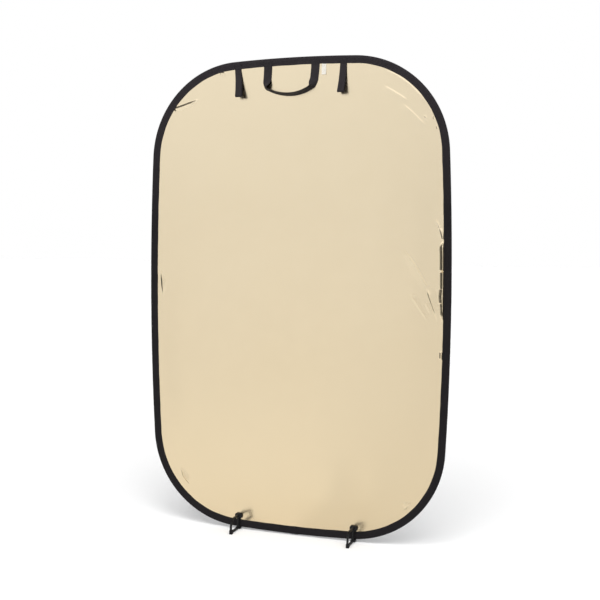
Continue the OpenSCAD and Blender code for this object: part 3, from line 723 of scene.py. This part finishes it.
def makeHandle():
    piece = startGrid("carryHandleWebbing", 8, handle["stations"])
    wide, v, _ = getPoints(piece)
    halfLength = handlePlace(np.zeros(1))[-1]
    mirrored = np.where(v > 0, -1, 1)
    run = (1 - np.abs(v)) * (halfLength + handle["tail"]) - handle["tail"]
    x, z, along, twist, lean, _ = handlePlace(run)
    reach = wide * handle["width"] / 2
    stand = (handle["thickness"] * (1 - np.cos(twist)) - handle["width"] * np.sin(twist)) / 2
    z = handle["seamZ"] + z + reach * np.cos(along) * np.cos(twist)
    x = mirrored * (x - handle["span"] / 2 - reach * np.sin(along) * np.cos(twist)) + handle["x"]
    x = x - np.where(v > 0, handle["rightLean"], handle["leftLean"]) * lean
    y = handle["seamY"] + stand - reach * np.sin(twist)
    sewn = smooth(-run / sewing["ease"])
    y = y * (1 - sewn) + onTape(x, z, handle["thickness"]) * sewn
    setPoints(piece, x, y, z)
    applyModifier(piece, "SOLIDIFY", thickness=handle["thickness"], offset=0)
    applyModifier(piece, "BEVEL", width=handle["edge"], segments=2, limit_method="ANGLE",
                  angle_limit=math.radians(50))
    smoothEdges(piece, 50)
    finishPiece(piece, handleWeave, "webbing", "carry_handle")
    hinge(piece, handle["seamZ"])
    for place in (-1, 1):
        sewPatch("handlePatch", handle["x"] + place * handle["span"] / 2, handle)


def hinge(piece, seamZ, above=3 * mm, below=2 * mm):
    seamZ + above
    seamZ - below
    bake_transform(piece)


# A box of stitches through a webbing end and the binding
def sewPatch(name, middleX, strap, layers=1):
    left = middleX - strap["width"] / 2 + sewing["sideIn"]
    right = middleX + strap["width"] / 2 - sewing["sideIn"]
    low = strap["seamZ"] + sewing["lowIn"]
    high = strap["seamZ"] + strap["tail"] - sewing["highIn"]
    path = [(left, low), (right, low), (right, high), (left, high)]
    top = strap["thickness"] * layers + sewing["gap"]

    def faceY(x, z):
        return tapeHalf(depthAt(x, z)) + top

    seam = sewLine(name + ("Left" if middleX < handle["x"] else "Right"), path, faceY, -1)
    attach(seam, "panel")


makeHandle()
print("carry handle made")


# Hanging loops: webbing folded back on itself, both plies sewn on the binding
loop = dict(
    width=25 * mm, thickness=1.4 * mm, length=98.87 * mm, rearY=-1.6 * mm, frontY=-3.0 * mm, bendR=5.7 * mm,
    tail=20 * mm, edge=0.4 * mm, seamY=-2.3 * mm, curl=18 * mm, topSteps=20, hangSteps=40, bendSteps=24,
    places=[dict(name="left", x=-225.5 * mm, seamZ=1769.41 * mm, lean=12 * mm),
            dict(name="right", x=191.5 * mm, seamZ=1770.93 * mm, lean=-2.5 * mm)],
)


def loopPath():
    bendR, length = loop["bendR"], loop["length"]
    topSteps, hangSteps, bendSteps = loop["topSteps"], loop["hangSteps"], loop["bendSteps"]
    middleY = loop["rearY"] - bendR
    top = np.linspace(loop["tail"], 0, topSteps)
    fall = np.linspace(0, -length, hangSteps + 1)
    turns = np.linspace(0, math.pi, bendSteps + 1)[1:]
    forward = np.linspace(middleY - bendR, loop["frontY"], hangSteps + 1)[1:]
    y = np.concatenate([np.full(topSteps + hangSteps, loop["rearY"]), middleY + bendR * np.cos(turns),
                        forward, np.full(topSteps - 1, loop["frontY"])])
    z = np.concatenate([top, fall[1:], -length - bendR * np.sin(turns), fall[-2::-1], top[-2::-1]])
    ply = np.repeat([1, 2], [topSteps + hangSteps + bendSteps, hangSteps + topSteps - 1])
    hang = np.clip(-z / length, 0, None)
    return y - loop["curl"] * hang**2, z, hang, ply


def makeLoop(place):
    pathY, pathZ, hang, ply = loopPath()
    piece = startGrid(place["name"] + "HangLoop", 6, len(pathY) - 1)
    wide, v, _ = getPoints(piece)
    step = np.rint((v + 1) / 2 * (len(pathY) - 1)).astype(int)
    x = place["x"] + wide * loop["width"] / 2 + place["lean"] * hang[step]
    z = place["seamZ"] + pathZ[step]
    sewn = smooth((z - place["seamZ"]) / sewing["ease"])
    sewnY = onTape(x, z, loop["thickness"]) - (ply[step] - 1) * (loop["thickness"] + sewing["plyGap"])
    setPoints(piece, x, pathY[step] * (1 - sewn) + sewnY * sewn, z)
    applyModifier(piece, "SOLIDIFY", thickness=loop["thickness"], offset=0)
    applyModifier(piece, "BEVEL", width=loop["edge"], segments=2, limit_method="ANGLE",
                  angle_limit=math.radians(50))
    smoothEdges(piece, 50)
    finishPiece(piece, loopWeave, "webbing", place["name"] + "_hang_strap")
    hinge(piece, place["seamZ"])
    sewPatch(place["name"] + "LoopPatch", place["x"], {**loop, **place}, 2)


for loopPlace in loop["places"]:
    makeLoop(loopPlace)
print("hanging loops made")


# Care label: a plain white tab tucked under the binding
label = dict(
    width=17 * mm, length=37 * mm, left=1.5 * mm, thickness=0.4 * mm, tuck=5 * mm, tuckEase=2 * mm,
    tuckBack=0.2 * mm, curl=2.2 * mm, leftCurl=0.4, y=-1.1 * mm, hingeZ=1773.27 * mm,
)


def makeLabel():
    low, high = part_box("care_label")
    piece = startGrid("careLabel", 8, 24)
    u, v, _ = getPoints(piece)
    z = low.z + (v + 1) / 2 * (high.z + label["tuck"] - low.z)
    hang = np.clip((high.z - z) / label["length"], 0, 1)
    curl = label["curl"] * hang**2 * (label["leftCurl"] + (1 - label["leftCurl"]) * ((u + 1) / 2) ** 2)
    tucked = smooth((z - high.z) / label["tuckEase"])
    x = (low.x + high.x) / 2 - label["left"] + u * label["width"] / 2
    setPoints(piece, x, label["y"] + tucked * label["tuckBack"] - curl, z)
    applyModifier(piece, "SOLIDIFY", thickness=label["thickness"], offset=0)
    smoothEdges(piece, 50)
    finishPiece(piece, whiteLabel, "label_cloth", "care_label")
    hinge(piece, label["hingeZ"], above=1.5 * mm, below=1 * mm)


makeLabel()
print("label made")


# Clip-on feet: the moulded pieces with softened edges
foot = dict(nylonEdge=0.7 * mm, rubberEdge=0.5 * mm, padEdge=0.25 * mm, pinEdge=0.3 * mm, weld=0.001 * mm)


def soften(nodeName, body, edge, material, slotName):
    words = nodeName.split("_")
    name = words[0] + "".join(word.title() for word in words[1:])
    piece = bpy.data.objects.new(name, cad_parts[nodeName].data.copy())
    bpy.context.scene.collection.objects.link(piece)
    with editing(piece):
        bpy.ops.mesh.select_all(action="SELECT")
        bpy.ops.mesh.remove_doubles(threshold=foot["weld"])
        bpy.ops.mesh.dissolve_limited(angle_limit=math.radians(1))
    applyModifier(piece, "BEVEL", width=edge, segments=2, limit_method="ANGLE", angle_limit=math.radians(40))
    smoothEdges(piece, 35)
    finishPiece(piece, material, slotName, nodeName)
    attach(piece, body)


def makeFoot(side):
    for end in ("front", "rear"):
        name = side + "_" + end
        soften(name + "_lever", name + "_foot", foot["nylonEdge"], blackNylon, "lever_nylon")
        soften(name + "_tip", name + "_foot", foot["rubberEdge"], blackRubber, "rubber")
        soften(name + "_pad", name + "_foot", foot["padEdge"], blackRubber, "rubber")
    soften(side + "_hinge_pin", side + "_front_foot", foot["pinEdge"], platedSteel, "hinge_pin")
    makeSpring(side)


# Torsion spring: two half springs that meet at the middle of the coil, one half towards each lever
spring = dict(
    wire=0.9 * mm, coilR=3.0 * mm, pitch=1.45 * mm, turns=3, pinZ=4.8 * mm, steps=24,
    arm=[1 * mm, 12 * mm, 24 * mm],
)


def makeSpring(side):
    low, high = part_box(side + "_hinge_pin")
    middleX = (low.x + high.x) / 2
    half = spring["turns"] / 2
    for end, facing in (("front", -1), ("rear", 1)):
        turns = np.linspace(0, half, int(half * spring["steps"]) + 1)
        angles = math.pi * spring["turns"] + facing * turns * math.tau
        route = [(middleX + facing * turn * spring["pitch"], spring["coilR"] * math.sin(angle),
                  spring["pinZ"] - spring["coilR"] * math.cos(angle)) for turn, angle in zip(turns, angles)]
        endX = middleX + facing * half * spring["pitch"]
        bottom = spring["pinZ"] - spring["coilR"]
        route += [(endX, facing * reach, bottom) for reach in spring["arm"]]
        wire = bpy.data.curves.new(side + end.title() + "Spring", "CURVE")
        wire.dimensions = "3D"
        wire.bevel_depth = spring["wire"] / 2
        wire.bevel_resolution = 2
        wire.use_fill_caps = True
        line = wire.splines.new("POLY")
        line.points.add(len(route) - 1)
        for point, place in zip(line.points, route):
            point.co = (*place, 1)
        piece = bpy.data.objects.new(wire.name, wire)
        bpy.context.scene.collection.objects.link(piece)
        grab(piece)
        bpy.ops.object.convert(target="MESH")
        smoothEdges(piece, 60)
        finishPiece(piece, springSteel, "spring_wire", *([side + "_spring"] if end == "front" else []))
        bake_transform(piece)


for footSide in ("left", "right"):
    makeFoot(footSide)
print("feet made")

# The hoop and its sleeve lie hidden in the fold and keep their solids
for hiddenNode, hiddenMaterial in (("steel_hoop", bandSteel), ("hoop_sleeve", platedSteel)):
    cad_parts[hiddenNode].data.materials.clear()
    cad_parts[hiddenNode].data.materials.append(hiddenMaterial)


# Studio: white floor and surroundings, two soft suns, a lamp over the top edge, and the camera
studio = dict(
    cameraAt=(1.2548, -3.4412, 1.1607), tilt=85.9684, roll=-0.2935, yaw=19.6557, lens=58.3712, sensor=36,
    floorSize=60, floorPaint=0.9, floorBounce=0.55, floorGlow=0.09, roomLight=0.55,
    dimSide=0.1, floorDim=(-0.3, 0.0), roomDim=(-0.36, -0.14),
    wallDark=0.92, wallFrom=0.9, floorWalls=(0.42, 1.7), roomWalls=(0.78, 0.92),
    ceilingDark=0.9, ceiling=(0.55, 0.70), bandLight=0.5, band=(0.14, 0.42), sunAway=4,
    suns=[dict(name="frontLamp", side=5, height=57, strength=1.2, softness=38),
          dict(name="sideLamp", side=50, height=51, strength=0.75, softness=36)],
    topLamp=dict(at=(0.2, -1.5, 3.0), aim=(0, 0, 1.7), size=1.0, power=12),
)


def seenDirectly(bench):
    return [bench.node("ShaderNodeLightPath", output="Is " + kind + " Ray")
            for kind in ("Camera", "Glossy", "Transmission")]


# The floor is white where it is seen and mirrored, and bounces less light than that. The cloths mirror it
# dark towards the side walls, and a little dim in front of the gold cloth's right side.
def makeFloor():
    grab()
    bpy.ops.mesh.primitive_plane_add(size=studio["floorSize"])
    floor = bpy.context.active_object
    floor.name = "studioFloor"
    paint = bpy.data.materials.new("floorPaint")
    paint.use_nodes = True
    tree = paint.node_tree
    tree.nodes.clear()
    bench = ShaderValue(tree)
    camera, glossy, clear = seenDirectly(bench)
    x, y, _ = bench.place().parts()
    dim = (0 - x / y).ramp(*studio["floorDim"], 0, studio["dimSide"])
    walls = ((abs(x) - studio["wallFrom"]) / abs(y)).ramp(*studio["floorWalls"], 0, studio["wallDark"])
    dim = glossy * (1.0 - (1.0 - dim) * (1.0 - walls))
    seen = camera + glossy + clear
    paintLevel = dim.mix(seen.mix(grey(studio["floorBounce"]), grey(studio["floorPaint"])), grey(0))
    matt = bench.node("ShaderNodeBsdfDiffuse", inputs={"Color": paintLevel})
    glow = seen * studio["floorGlow"] * (1.0 - dim)
    lit = bench.node("ShaderNodeEmission", inputs={"Color": grey(1), "Strength": glow})
    both = bench.node("ShaderNodeAddShader", inputs={0: matt, 1: lit})
    bench.feed(tree.nodes.new("ShaderNodeOutputMaterial"), {"Surface": both})
    floor.data.materials.append(paint)


# Mirrored by the cloths: dark side walls and ceiling, a bright band above the horizon
def makeRoom():
    room = bpy.data.worlds.new("studioRoom")
    bpy.context.scene.world = room
    room.use_nodes = True
    tree = room.node_tree
    tree.nodes.clear()
    bench = ShaderValue(tree)
    camera, glossy, clear = seenDirectly(bench)
    x, _, z = bench.node("ShaderNodeTexCoord", output="Generated").parts()
    walls = abs(x).ramp(*studio["roomWalls"], 0, studio["wallDark"])
    ceiling = z.ramp(*studio["ceiling"], 0, studio["ceilingDark"])
    band = z.ramp(*studio["band"], 0, studio["bandLight"])
    dim = x.ramp(*studio["roomDim"], 0, studio["dimSide"])
    mirrored = (1.0 + band - dim) * (1.0 - walls) * (1.0 - ceiling)
    white = camera + clear
    level = white + glossy * mirrored + (1.0 - white - glossy) * studio["roomLight"]
    air = bench.node("ShaderNodeBackground", inputs={"Color": grey(1), "Strength": level})
    bench.feed(tree.nodes.new("ShaderNodeOutputWorld"), {"Surface": air})


def makeLamps():
    for sun in studio["suns"]:
        side, height = math.radians(sun["side"]), math.radians(sun["height"])
        away = (math.sin(side) * math.cos(height), -math.cos(side) * math.cos(height), math.sin(height))
        light = addLamp("SUN", sun["name"], Vector(away) * studio["sunAway"], Vector())
        light.data.energy = sun["strength"]
        light.data.angle = math.radians(sun["softness"])
    top = studio["topLamp"]
    light = addLamp("AREA", "topLamp", Vector(top["at"]), Vector(top["aim"]))
    light.data.energy = top["power"]
    light.data.size = top["size"]


def addLamp(kind, name, at, aim):
    grab()
    bpy.ops.object.light_add(type=kind, location=at)
    light = bpy.context.active_object
    light.name = name
    light.visible_glossy = False
    light.rotation_euler = (at - aim).to_track_quat("Z", "Y").to_euler()
    return light


def makeCamera():
    grab()
    turn = [math.radians(studio[name]) for name in ("tilt", "roll", "yaw")]
    bpy.ops.object.camera_add(location=studio["cameraAt"], rotation=turn)
    camera = bpy.context.active_object
    camera.data.lens = studio["lens"]
    camera.data.sensor_width = studio["sensor"]
    bpy.context.scene.camera = camera


makeFloor()
makeRoom()
makeLamps()
makeCamera()
bpy.context.scene.view_settings.view_transform = "Standard"
print("studio set")

grab()
